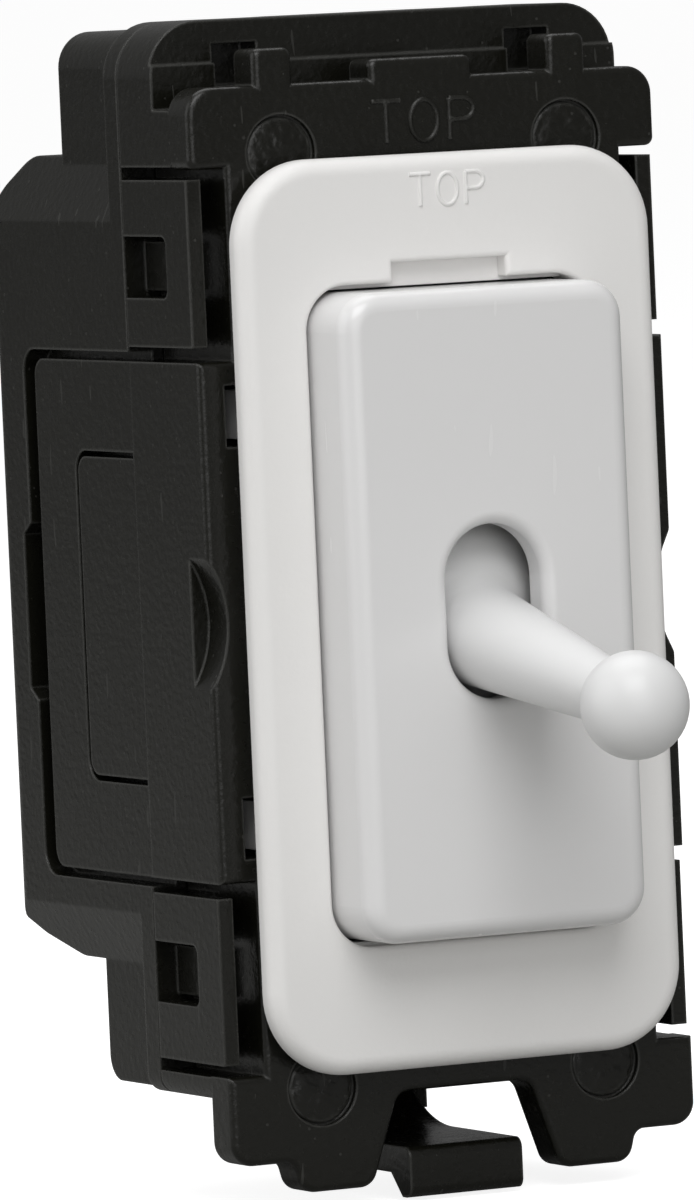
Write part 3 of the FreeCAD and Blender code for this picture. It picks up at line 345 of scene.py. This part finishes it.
@dataclass(frozen=True)
class Finish:
    """One finish: its two tones, gloss, grain, and pale edges of wear and painted highlight."""

    name: str
    tone: Colour
    other_tone: Colour
    # Pale tone of scratches, specks and edges; on the edges it is partly wear and partly a painted
    # highlight.
    scuffed_and_highlit_tone: Colour
    roughness: float
    metallic: float = 0.0
    grain_cells: float = 3500.0
    grain_depth: float = 0.05
    edge_radius: float = 0.00012
    scratch_level: float = 0.74
    mark_strength: float = 0.07
    scuff_and_highlight_strength: float = 0.35
    scuff_and_highlight_gaps: float = 0.35
    speck_amount: float = 0.0
    coat: float = 0.0
    subsurface: float = 0.0
    specular: float = 0.5

    def build(self, groups: ShaderGroups) -> bpy.types.Material:
        """Make the material.

        Args:
            groups: the shared shader groups.

        Returns:
            The finished material.
        """
        material = bpy.data.materials.new(self.name)
        material.use_nodes = True
        tree = material.node_tree
        shader = tree.nodes["Principled BSDF"]
        shader.inputs["Metallic"].default_value = self.metallic
        shader.inputs["Coat Weight"].default_value = self.coat
        shader.inputs["Coat Roughness"].default_value = COAT_ROUGHNESS
        shader.inputs["Specular IOR Level"].default_value = self.specular
        shader.inputs["Subsurface Weight"].default_value = self.subsurface
        shader.inputs["Subsurface Scale"].default_value = SUBSURFACE_SCALE

        drift = self.place(tree, groups.drift, {"Tone": self.tone, "Other tone": self.other_tone})
        scuff_and_highlight_node = self.place(tree, groups.scuffed_and_highlit_edges,
                          {"Width": self.edge_radius * SCUFF_AND_HIGHLIGHT_REACH, "Break up": self.scuff_and_highlight_gaps})
        scratches = self.place(tree, groups.scratches, {"Level": self.scratch_level})
        grain = self.place(tree, groups.grain, {"Cells": self.grain_cells})
        marks = scratches.outputs["Mask"]
        if self.speck_amount > 0:
            specks = self.place(tree, groups.specks, {"Amount": self.speck_amount})
            marks = math_node(tree, "MAXIMUM", marks, specks.outputs["Mask"])
        # Pale edges: partly rubbed wear and partly a painted edge highlight.
        scuff_and_highlight_share = math_node(tree, "MULTIPLY", scuff_and_highlight_node.outputs["Mask"], self.scuff_and_highlight_strength)
        marked = math_node(tree, "MULTIPLY", marks, self.mark_strength)
        mask = math_node(tree, "MAXIMUM", scuff_and_highlight_share, marked)
        mix = add_node(tree, "ShaderNodeMix", data_type="RGBA")
        tree.links.new(mask, mix.inputs["Factor"])
        tree.links.new(drift.outputs["Colour"], mix.inputs[MIX_FIRST])
        mix.inputs[MIX_SECOND].default_value = (*self.scuffed_and_highlit_tone, 1.0)
        tree.links.new(mix.outputs[MIX_RESULT], shader.inputs["Base Color"])

        rough = math_node(tree, "MULTIPLY_ADD", grain.outputs["Height"], GRAIN_ROUGHNESS,
                          self.roughness - GRAIN_ROUGHNESS_MIDDLE)
        marked_rough = math_node(tree, "MULTIPLY_ADD", marks, MARK_ROUGHNESS, rough)
        tree.links.new(marked_rough, shader.inputs["Roughness"])

        rounded = add_node(tree, "ShaderNodeBevel", samples=EDGE_SAMPLES)
        rounded.inputs["Radius"].default_value = self.edge_radius
        bump = add_node(tree, "ShaderNodeBump")
        bump.inputs["Strength"].default_value = GRAIN_STRENGTH
        bump.inputs["Distance"].default_value = self.grain_depth * MM
        tree.links.new(grain.outputs["Height"], bump.inputs["Height"])
        tree.links.new(rounded.outputs["Normal"], bump.inputs["Normal"])
        tree.links.new(bump.outputs["Normal"], shader.inputs["Normal"])
        return material

    @staticmethod
    def place(tree: bpy.types.NodeTree, group: bpy.types.NodeTree,
              values: dict[str, float | Colour]) -> bpy.types.Node:
        """Place a shared group in a material with its own values.

        Args:
            tree: the material's tree.
            group: the group to place.
            values: values for the group's named inputs.

        Returns:
            The group node.
        """
        node = add_node(tree, "ShaderNodeGroup", node_tree=group)
        for label, value in values.items():
            node.inputs[label].default_value = (*value, 1.0) if isinstance(value, tuple) else value
        return node


# The third tone lightens edges and marks; on the black moulding its edges are mostly a painted
# highlight, mixed with wear.
FINISHES: dict[Slot, Finish] = {
    Slot.BLACK: Finish("black_moulding_finish", (0.0048, 0.0048, 0.0032), (0.0072, 0.0070, 0.0048),
                       (0.16, 0.16, 0.15), 0.25, grain_cells=2900, grain_depth=0.055,
                       speck_amount=0.10, scratch_level=0.84, mark_strength=0.12,
                       scuff_and_highlight_strength=0.42, scuff_and_highlight_gaps=0.9, edge_radius=0.00018, specular=0.4),
    Slot.PLATE: Finish("white_plate_finish", (0.83, 0.82, 0.805), (0.86, 0.85, 0.84),
                       (0.88, 0.87, 0.86), 0.48, grain_cells=4200, grain_depth=0.02,
                       scratch_level=0.86),
    Slot.COVER: Finish("white_cover_finish", (0.775, 0.77, 0.77), (0.795, 0.79, 0.79),
                       (0.85, 0.85, 0.85), 0.22, grain_cells=900, grain_depth=0.002,
                       scratch_level=0.87, mark_strength=0.03, coat=0.2,
                       edge_radius=0.00005),
    Slot.LEVER: Finish("white_lever_finish", (0.76, 0.76, 0.76), (0.79, 0.79, 0.79),
                       (0.88, 0.88, 0.88), 0.36, grain_cells=2600, grain_depth=0.004,
                       scratch_level=0.86, edge_radius=0.00005),
    Slot.NYLON: Finish("nylon_finish", (0.72, 0.71, 0.66), (0.78, 0.77, 0.72), (0.85, 0.85, 0.82),
                       0.5, grain_depth=0.03, subsurface=0.15),
    Slot.STEEL: Finish("steel_finish", (0.42, 0.42, 0.43), (0.5, 0.5, 0.5), (0.7, 0.7, 0.7), 0.3,
                       metallic=1.0, grain_depth=0.01, scratch_level=0.66),
    Slot.SCREW: Finish("zinc_screw_finish", (0.50, 0.49, 0.44), (0.60, 0.58, 0.50),
                       (0.8, 0.8, 0.78), 0.33, metallic=1.0, grain_depth=0.015,
                       scratch_level=0.64),
    Slot.COPPER: Finish("copper_strip_finish", (0.62, 0.30, 0.17), (0.70, 0.38, 0.22),
                        (0.9, 0.6, 0.45), 0.34, metallic=1.0, grain_depth=0.01,
                        scratch_level=0.65),
    Slot.BRASS: Finish("brass_block_finish", (0.62, 0.46, 0.17), (0.70, 0.54, 0.24),
                       (0.9, 0.78, 0.5), 0.3, metallic=1.0, grain_depth=0.012, scratch_level=0.65),
    Slot.SILVER: Finish("silver_tip_finish", (0.72, 0.71, 0.68), (0.80, 0.79, 0.77),
                        (0.95, 0.95, 0.93), 0.28, metallic=1.0, grain_depth=0.01),
}


# Geometry helpers -----------------------------------------------------------------------------


class GeometryTree:
    """A Geometry Nodes tree with named inputs, applied once and turned into a plain mesh."""

    def __init__(self, name: str, inputs: dict[str, float | int]) -> None:
        """Start a tree with its group input and output.

        Args:
            name: the tree's name.
            inputs: each named number and its default.
        """
        self.tree = bpy.data.node_groups.new(name, "GeometryNodeTree")
        self.tree.interface.new_socket("Geometry", in_out="INPUT", socket_type="NodeSocketGeometry")
        self.identifiers: dict[str, str] = {}
        for label, default in inputs.items():
            kind = "NodeSocketInt" if isinstance(default, int) else "NodeSocketFloat"
            socket = self.tree.interface.new_socket(label, in_out="INPUT", socket_type=kind)
            socket.default_value = default
            self.identifiers[label] = socket.identifier
        surface = self.tree.interface.new_socket("Surface", in_out="INPUT",
                                                 socket_type="NodeSocketMaterial")
        self.identifiers["Surface"] = surface.identifier
        self.tree.interface.new_socket("Geometry", in_out="OUTPUT",
                                       socket_type="NodeSocketGeometry")
        self.start = self.add("NodeGroupInput")
        self.end = self.add("NodeGroupOutput")

    def add(self, kind: str, **links: object) -> bpy.types.Node:
        """Add a node and link or set its inputs by name.

        Args:
            kind: the node's type name.
            links: for each input, with underscores for spaces, a socket or a value.

        Returns:
            The new node.
        """
        node = self.tree.nodes.new(kind)
        for label, value in links.items():
            socket = node.inputs[label.replace("_", " ")]
            if isinstance(value, bpy.types.NodeSocket):
                self.tree.links.new(value, socket)
            else:
                socket.default_value = value
        return node

    def close(self, geometry: bpy.types.NodeSocket) -> None:
        """End the tree in Realize Instances and Set Material.

        Args:
            geometry: what the tree has made.
        """
        whole = self.add("GeometryNodeRealizeInstances", Geometry=geometry)
        dressed = self.add("GeometryNodeSetMaterial", Geometry=whole.outputs[0],
                           Material=self.start.outputs["Surface"])
        self.tree.links.new(dressed.outputs[0], self.end.inputs[0])

    def run(self, source: bpy.types.Object, values: dict[str, float | int],
            surface: bpy.types.Material) -> bpy.types.Mesh:
        """Evaluate the tree on an object and return the plain mesh.

        Args:
            source: the object that carries the tree's input geometry.
            values: values for the named inputs.
            surface: the material of the result.

        Returns:
            A mesh of its own, with no modifier left.
        """
        modifier = source.modifiers.new(self.tree.name, "NODES")
        modifier.node_group = self.tree
        for label, value in values.items():
            modifier[self.identifiers[label]] = value
        modifier[self.identifiers["Surface"]] = surface
        source.update_tag()
        bpy.context.view_layer.update()
        graph = bpy.context.evaluated_depsgraph_get()
        mesh = bpy.data.meshes.new_from_object(source.evaluated_get(graph), depsgraph=graph)
        source.modifiers.remove(modifier)
        return mesh


def link_piece(name: str, mesh: bpy.types.Mesh, place: Matrix | None = None) -> bpy.types.Object:
    """Link a mesh as a piece at the origin, with its place in its vertices.

    Args:
        name: the piece's name.
        mesh: its mesh.
        place: where the mesh goes in the row frame.

    Returns:
        The linked object.
    """
    if place is not None:
        mesh.transform(place)
    mesh.name = name
    piece = bpy.data.objects.new(name, mesh)
    bpy.context.scene.collection.objects.link(piece)
    for polygon in mesh.polygons:
        polygon.use_smooth = True
    return piece


def empty_source(name: str) -> bpy.types.Object:
    """Make an object with an empty mesh, for a tree that needs no input geometry.

    Args:
        name: the object's and its mesh's name.

    Returns:
        The linked object.
    """
    source = bpy.data.objects.new(name, bpy.data.meshes.new(name))
    bpy.context.scene.collection.objects.link(source)
    return source


def settle(piece: bpy.types.Object, body: Body) -> None:
    """Make a piece ride its body.

    Args:
        piece: the finished piece.
        body: the body that it rides.
    """
    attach(piece, body.value)
    LOG.info("%s rides %s with %d faces", piece.name, body.value, len(piece.data.polygons))


# Sub-assemblies -------------------------------------------------------------------------------


@dataclass
class Switchboard:
    """What every sub-assembly needs: the CAD nodes and the finished materials."""

    nodes: dict[str, bpy.types.Object]
    surfaces: dict[Slot, bpy.types.Material]

    def dress(self, slot: Slot, *names: str) -> None:
        """Give CAD nodes a finish.

        Args:
            slot: the finish's slot.
            names: the nodes that get it.
        """
        for name in names:
            for holder in self.nodes[name].material_slots:
                holder.material = self.surfaces[slot]
            LOG.info("%s keeps its CAD shape in %s", name, slot.value)


@dataclass
class Lettering:
    """The raised word that says which end is up, in thin rounded strokes."""

    name: str
    width: float
    height: float
    centre: Vector
    stroke: float
    slot: Slot

    def strokes(self) -> list[tuple[list[tuple[float, float]], bool]]:
        """The letters T, O and P as paths in units of the word's half width and half height.

        Returns:
            Each path's points and whether it closes.
        """
        turn = [2 * math.pi * step / 24 for step in range(24)]
        ring = [(0.02 + 0.27 * math.cos(a), math.sin(a)) for a in turn]
        bowl = [(0.78 + 0.22 * math.sin(a), 0.48 + 0.52 * math.cos(a))
                for a in (math.pi * step / 12 for step in range(13))]
        return [
            ([(-1.0, 1.0), (-0.44, 1.0)], False),
            ([(-0.72, 1.0), (-0.72, -1.0)], False),
            (ring, True),
            ([(0.52, -1.0), (0.52, 1.0)], False),
            ([(0.52, 1.0)] + bowl + [(0.52, -0.04)], False),
        ]

    def build(self, board: Switchboard) -> None:
        """Make the letters with a tree that sweeps a round section along the paths.

        Args:
            board: the nodes and surfaces.
        """
        curve = bpy.data.curves.new(self.name + "_paths", "CURVE")
        curve.dimensions = "3D"
        for points, closed in self.strokes():
            spline = curve.splines.new("POLY")
            spline.points.add(len(points) - 1)
            for point, (across, tall) in zip(spline.points, points):
                point.co = (self.centre.x + across * self.width / 2, self.centre.y,
                            self.centre.z + tall * self.height / 2, 1)
            spline.use_cyclic_u = closed
        source = bpy.data.objects.new(self.name + "_paths", curve)
        bpy.context.scene.collection.objects.link(source)
        tree = GeometryTree("letter_strokes", {"Stroke radius": 0.1 * MM, "Sides": 10})
        section = tree.add("GeometryNodeCurvePrimitiveCircle",
                           Resolution=tree.start.outputs["Sides"])
        tree.tree.links.new(tree.start.outputs["Stroke radius"], section.inputs["Radius"])
        swept = tree.add("GeometryNodeCurveToMesh", Curve=tree.start.outputs["Geometry"],
                         Profile_Curve=section.outputs[0], Fill_Caps=True)
        tree.close(swept.outputs[0])
        mesh = tree.run(source, {"Stroke radius": self.stroke, "Sides": 10},
                        board.surfaces[self.slot])
        bpy.data.objects.remove(source)
        settle(link_piece(self.name, mesh), Body.HOUSING)


@dataclass
class GateScars:
    """Wrinkled round scars that fill the floors of the flange's four dimples."""

    radius: float = 1.68 * MM
    height: float = 0.16 * MM
    across: float = 7.55 * MM
    upper: float = 21.8 * MM
    lower: float = -22.1 * MM
    floor: float = 0.35 * MM
    flatten: float = 0.05
    wrinkle_cells: float = 1500.0
    wrinkle_twist: float = 1.6
    full_turn: float = 6.28

    def build(self, board: Switchboard) -> None:
        """Instance one wrinkled disc at each dimple and turn them differently.

        Args:
            board: the nodes and surfaces.
        """
        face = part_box("front_frame")[0].y
        places = bpy.data.meshes.new("scar_places")
        places.from_pydata([(side * self.across, face + self.floor, tall) for side in (-1, 1)
                            for tall in (self.upper, self.lower)], [], [])
        source = bpy.data.objects.new("scar_places", places)
        bpy.context.scene.collection.objects.link(source)
        tree = GeometryTree("gate_scars", {"Scar radius": self.radius, "Wrinkle": self.height,
                                           "Seed": 5})
        disc = tree.add("GeometryNodeMeshUVSphere", Segments=56, Rings=36)
        tree.tree.links.new(tree.start.outputs["Scar radius"], disc.inputs["Radius"])
        flat = tree.add("GeometryNodeTransform", Geometry=disc.outputs[0],
                        Scale=(1, 1, self.flatten))
        many = tree.add("GeometryNodeInstanceOnPoints", Points=tree.start.outputs["Geometry"],
                        Instance=flat.outputs[0])
        spin = tree.add("FunctionNodeRandomValue")
        spin.data_type = "FLOAT_VECTOR"
        spin.inputs[0].default_value = (math.pi / 2, 0, 0)
        spin.inputs[1].default_value = (math.pi / 2, self.full_turn, 0)
        tree.tree.links.new(tree.start.outputs["Seed"], spin.inputs["Seed"])
        tree.tree.links.new(spin.outputs[0], many.inputs["Rotation"])
        whole = tree.add("GeometryNodeRealizeInstances", Geometry=many.outputs[0])
        noise = tree.add("ShaderNodeTexNoise", Scale=self.wrinkle_cells, Detail=2.0,
                         Distortion=self.wrinkle_twist)
        place = tree.add("GeometryNodeInputPosition")
        tree.tree.links.new(place.outputs[0], noise.inputs["Vector"])
        lift = tree.add("ShaderNodeMath")
        lift.operation = "MULTIPLY"
        tree.tree.links.new(noise.outputs[0], lift.inputs[0])
        tree.tree.links.new(tree.start.outputs["Wrinkle"], lift.inputs[1])
        out = tree.add("ShaderNodeMath")
        out.operation = "MULTIPLY"
        out.inputs[1].default_value = -1.0
        tree.tree.links.new(lift.outputs[0], out.inputs[0])
        offset = tree.add("ShaderNodeCombineXYZ")
        tree.tree.links.new(out.outputs[0], offset.inputs["Y"])
        moved = tree.add("GeometryNodeSetPosition", Geometry=whole.outputs[0],
                         Offset=offset.outputs[0])
        tree.close(moved.outputs[0])
        mesh = tree.run(source, {}, board.surfaces[Slot.BLACK])
        bpy.data.objects.remove(source)
        settle(link_piece("flange_gate_scars", mesh), Body.HOUSING)


@dataclass
class PlungerSpring:
    """The compression spring in the lever's tail."""

    wire: float = 0.17 * MM
    radius: float = 1.15 * MM
    turns: float = 4.0
    tilt: float = math.radians(10.4)
    pressed: float = 0.63

    def build(self, board: Switchboard) -> None:
        """Wind the spring, put it where its CAD node is and let it ride the lever.

        Args:
            board: the nodes and surfaces.
        """
        low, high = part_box("plunger_spring")
        centre = (low + high) / 2
        reach = (high.y - low.y) / math.cos(self.tilt)
        length = reach - 2 * self.wire - 2 * self.radius * math.tan(self.tilt)
        tree = GeometryTree("wound_spring", {"Coil radius": self.radius, "Wire radius": self.wire,
                                             "Length": length, "Turns": self.turns})
        coil = tree.add("GeometryNodeCurveSpiral", Resolution=28)
        for label in ("Start Radius", "End Radius"):
            tree.tree.links.new(tree.start.outputs["Coil radius"], coil.inputs[label])
        tree.tree.links.new(tree.start.outputs["Turns"], coil.inputs["Rotations"])
        tree.tree.links.new(tree.start.outputs["Length"], coil.inputs["Height"])
        section = tree.add("GeometryNodeCurvePrimitiveCircle", Resolution=10)
        tree.tree.links.new(tree.start.outputs["Wire radius"], section.inputs["Radius"])
        wound = tree.add("GeometryNodeCurveToMesh", Curve=coil.outputs[0],
                         Profile_Curve=section.outputs[0], Fill_Caps=True)
        tree.close(wound.outputs[0])
        source = empty_source("spring_source")
        mesh = tree.run(source, {}, board.surfaces[Slot.STEEL])
        bpy.data.objects.remove(source)
        place = (Matrix.Translation(centre) @ Matrix.Rotation(self.tilt - math.pi / 2, 4, "X")
                 @ Matrix.Translation((0, 0, -length / 2)))
        piece = link_piece("wound_plunger_spring", mesh, place)
        settle(piece, Body.LEVER)
        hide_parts("plunger_spring")
        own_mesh(piece)


@dataclass
class ScrewThreads:
    """The threads that stand on the three clamp screws."""

    pitch: float = 0.7 * MM
    ridge: float = 0.12 * MM
    end_margin: float = 1.2 * MM
    ridge_sunk: float = 0.8

    def build(self, board: Switchboard) -> None:
        """Wind one thread round each screw's shank.

        Args:
            board: the nodes and surfaces.
        """
        tree = GeometryTree("screw_thread", {"Core radius": 1.7 * MM, "Length": 3.0 * MM,
                                             "Turns": 4.0, "Ridge": self.ridge})
        coil = tree.add("GeometryNodeCurveSpiral", Resolution=30)
        for label in ("Start Radius", "End Radius"):
            tree.tree.links.new(tree.start.outputs["Core radius"], coil.inputs[label])
        tree.tree.links.new(tree.start.outputs["Turns"], coil.inputs["Rotations"])
        tree.tree.links.new(tree.start.outputs["Length"], coil.inputs["Height"])
        section = tree.add("GeometryNodeCurvePrimitiveCircle", Resolution=6)
        tree.tree.links.new(tree.start.outputs["Ridge"], section.inputs["Radius"])
        wound = tree.add("GeometryNodeCurveToMesh", Curve=coil.outputs[0],
                         Profile_Curve=section.outputs[0], Fill_Caps=True)
        tree.close(wound.outputs[0])
        for body in (Body.COMMON_SCREW, Body.FIRST_SCREW, Body.SECOND_SCREW):
            low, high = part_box(body.value)
            core = (high.x - low.x) / 2
            length = high.y - low.y - 2 * self.end_margin
            source = empty_source("thread_source")
            sizes = {"Core radius": core - self.ridge * self.ridge_sunk, "Length": length,
                     "Turns": length / self.pitch, "Ridge": self.ridge}
            mesh = tree.run(source, sizes, board.surfaces[Slot.SCREW])
            bpy.data.objects.remove(source)
            centre = Vector(((low.x + high.x) / 2, low.y + self.end_margin, (low.z + high.z) / 2))
            place = Matrix.Translation(centre) @ Matrix.Rotation(-math.pi / 2, 4, "X")
            settle(link_piece(body.value + "_thread", mesh, place), body)


@dataclass
class FrontAssembly:
    """Surround, cover, lever and the marks on their faces."""

    plate_word_width: float = 3.9 * MM
    plate_word_height: float = 1.5 * MM
    plate_word_base: float = 19.0 * MM
    flange_word_width: float = 5.4 * MM
    flange_word_height: float = 1.95 * MM
    flange_word_base: float = 22.0 * MM
    word_sunk: float = 0.02 * MM
    plate_stroke: float = 0.11 * MM
    flange_stroke: float = 0.13 * MM

    def build(self, board: Switchboard) -> None:
        """Dress the front and add the letters and marks.

        Args:
            board: the nodes and surfaces.
        """
        board.dress(Slot.PLATE, "front_plate")
        board.dress(Slot.COVER, "toggle_cover")
        board.dress(Slot.LEVER, "toggle_lever")
        board.dress(Slot.BLACK, "front_frame", "grid_catch")
        plate_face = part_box("front_plate")[0].y
        flange_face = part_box("front_frame")[0].y
        plate_middle = self.plate_word_base + self.plate_word_height / 2
        flange_middle = self.flange_word_base + self.flange_word_height / 2
        Lettering("plate_word", self.plate_word_width, self.plate_word_height,
                  Vector((0, plate_face + self.word_sunk, plate_middle)), self.plate_stroke,
                  Slot.PLATE).build(board)
        Lettering("flange_word", self.flange_word_width, self.flange_word_height,
                  Vector((0, flange_face + self.word_sunk, flange_middle)), self.flange_stroke,
                  Slot.BLACK).build(board)
        GateScars().build(board)


@dataclass
class RearAssembly:
    """Housing, terminals, strips and the rocking contact."""

    def build(self, board: Switchboard) -> None:
        """Dress what is behind the flange.

        Args:
            board: the nodes and surfaces.
        """
        board.dress(Slot.BLACK, "rear_housing")
        board.dress(Slot.NYLON, "lever_carrier", "plunger")
        board.dress(Slot.STEEL, "lever_pin", "rocker_pin", "plunger_spring")
        board.dress(Slot.COPPER, "common_strip", "first_way_strip", "second_way_strip",
                    "contact_rocker")
        board.dress(Slot.SILVER, "fixed_contact_tips", "moving_contact_tips")
        board.dress(Slot.BRASS, "common_terminal", "first_way_terminal", "second_way_terminal")
        board.dress(Slot.SCREW, "common_screw", "first_way_screw", "second_way_screw")
        PlungerSpring().build(board)
        ScrewThreads().build(board)


@dataclass(frozen=True)
class SoftLight:
    """One large soft lamp."""

    name: str
    place: tuple[float, float, float]
    size: float
    power: float

    def build(self, target: Vector) -> None:
        """Make the lamp and aim it.

        Args:
            target: the point it faces.
        """
        lamp = bpy.data.lights.new(self.name, "AREA")
        lamp.size = self.size
        lamp.energy = self.power
        holder = bpy.data.objects.new(self.name, lamp)
        holder.location = self.place
        facing = target - Vector(self.place)
        holder.rotation_euler = facing.to_track_quat("-Z", "Y").to_euler()
        bpy.context.scene.collection.objects.link(holder)


@dataclass
class Studio:
    """Camera, lamps, surroundings and floor."""

    lens: float = 360.0
    sensor: float = 36.0
    eye: tuple[float, float, float] = (-0.2609, -0.5023, 0.0339)
    forward: tuple[float, float, float] = (0.4544, 0.8888, -0.0590)
    roll: float = 0.0442
    floor_half: float = 30.0
    floor_gap: float = 0.2 * MM
    floor_roughness: float = 0.9
    floor_lit: Colour = (0.36, 0.36, 0.35)
    floor_seen: Colour = (0.55, 0.55, 0.55)
    floor_glow: float = 0.86
    surround: float = 0.21
    clip_near: float = 0.01
    clip_far: float = 200.0

    def build(self) -> None:
        """Set up everything around the object."""
        self.make_camera()
        self.make_world()
        self.make_floor()
        for light in (
                SoftLight("key_softbox", (-0.16, -0.38, 0.44), 0.40, 2.0),
                SoftLight("front_softbox", (-0.12, -0.66, 0.00), 0.55, 1.5),
                SoftLight("top_softbox", (0.05, 0.15, 0.55), 0.45, 1.3),
                SoftLight("left_softbox", (-0.6, 0.15, 0.20), 0.70, 1.6)):
            light.build(Vector((0, 0, 0)))

    def make_camera(self) -> None:
        """Make the camera with its own roll."""
        camera = bpy.data.cameras.new("view_camera")
        camera.lens = self.lens
        camera.sensor_width = self.sensor
        camera.clip_start = self.clip_near
        camera.clip_end = self.clip_far
        ahead = Vector(self.forward).normalized()
        level = Vector((ahead.y, -ahead.x, 0)).normalized()
        upright = level.cross(ahead)
        right = math.cos(self.roll) * level - math.sin(self.roll) * upright
        up = math.sin(self.roll) * level + math.cos(self.roll) * upright
        turn = Matrix((right, up, -ahead)).transposed().to_4x4()
        holder = bpy.data.objects.new("view_camera", camera)
        holder.matrix_world = Matrix.Translation(self.eye) @ turn
        bpy.context.scene.collection.objects.link(holder)
        bpy.context.scene.camera = holder

    def make_world(self) -> None:
        """White behind the object and a dimmer surround for light and reflections."""
        world = bpy.data.worlds.new("studio_surround")
        world.use_nodes = True
        bpy.context.scene.world = world
        tree = world.node_tree
        tree.nodes.clear()
        path = add_node(tree, "ShaderNodeLightPath")
        seen = add_node(tree, "ShaderNodeBackground")
        seen.inputs["Color"].default_value = (1, 1, 1, 1)
        lit = add_node(tree, "ShaderNodeBackground")
        lit.inputs["Color"].default_value = (self.surround, self.surround, self.surround, 1)
        mix = add_node(tree, "ShaderNodeMixShader")
        end = add_node(tree, "ShaderNodeOutputWorld")
        tree.links.new(path.outputs["Is Camera Ray"], mix.inputs["Fac"])
        tree.links.new(lit.outputs[0], mix.inputs[1])
        tree.links.new(seen.outputs[0], mix.inputs[2])
        tree.links.new(mix.outputs[0], end.inputs["Surface"])

    def make_floor(self) -> None:
        """A plain pale floor just below the object, which reflects little light up."""
        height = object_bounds()[0][2] - self.floor_gap
        half = self.floor_half
        mesh = bpy.data.meshes.new("floor")
        mesh.from_pydata([(-half, -half, height), (half, -half, height), (half, half, height),
                          (-half, half, height)], [], [(0, 1, 2, 3)])
        material = bpy.data.materials.new("pale_floor")
        material.use_nodes = True
        tree = material.node_tree
        shader = tree.nodes["Principled BSDF"]
        shader.inputs["Roughness"].default_value = self.floor_roughness
        shader.inputs["Specular IOR Level"].default_value = 0.0
        path = add_node(tree, "ShaderNodeLightPath")
        tone = add_node(tree, "ShaderNodeMix", data_type="RGBA")
        tone.inputs[MIX_FIRST].default_value = (*self.floor_lit, 1)
        tone.inputs[MIX_SECOND].default_value = (*self.floor_seen, 1)
        tree.links.new(path.outputs["Is Camera Ray"], tone.inputs["Factor"])
        tree.links.new(tone.outputs[MIX_RESULT], shader.inputs["Base Color"])
        glow = math_node(tree, "MULTIPLY", path.outputs["Is Camera Ray"], self.floor_glow)
        shader.inputs["Emission Color"].default_value = (1, 1, 1, 1)
        tree.links.new(glow, shader.inputs["Emission Strength"])
        mesh.materials.append(material)
        floor = bpy.data.objects.new("floor", mesh)
        bpy.context.scene.collection.objects.link(floor)
        floor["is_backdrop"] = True


def main() -> None:
    """Build the looks in order."""
    logging.basicConfig(level=logging.INFO, format="%(message)s")
    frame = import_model()
    bpy.context.scene.view_settings.view_transform = "Standard"
    Studio().build()
    groups = ShaderGroups()
    surfaces = {slot: finish.build(groups) for slot, finish in FINISHES.items()}
    board = Switchboard(frame["nodes"], surfaces)
    FrontAssembly().build(board)
    RearAssembly().build(board)


if __name__ == "__main__":
    main()
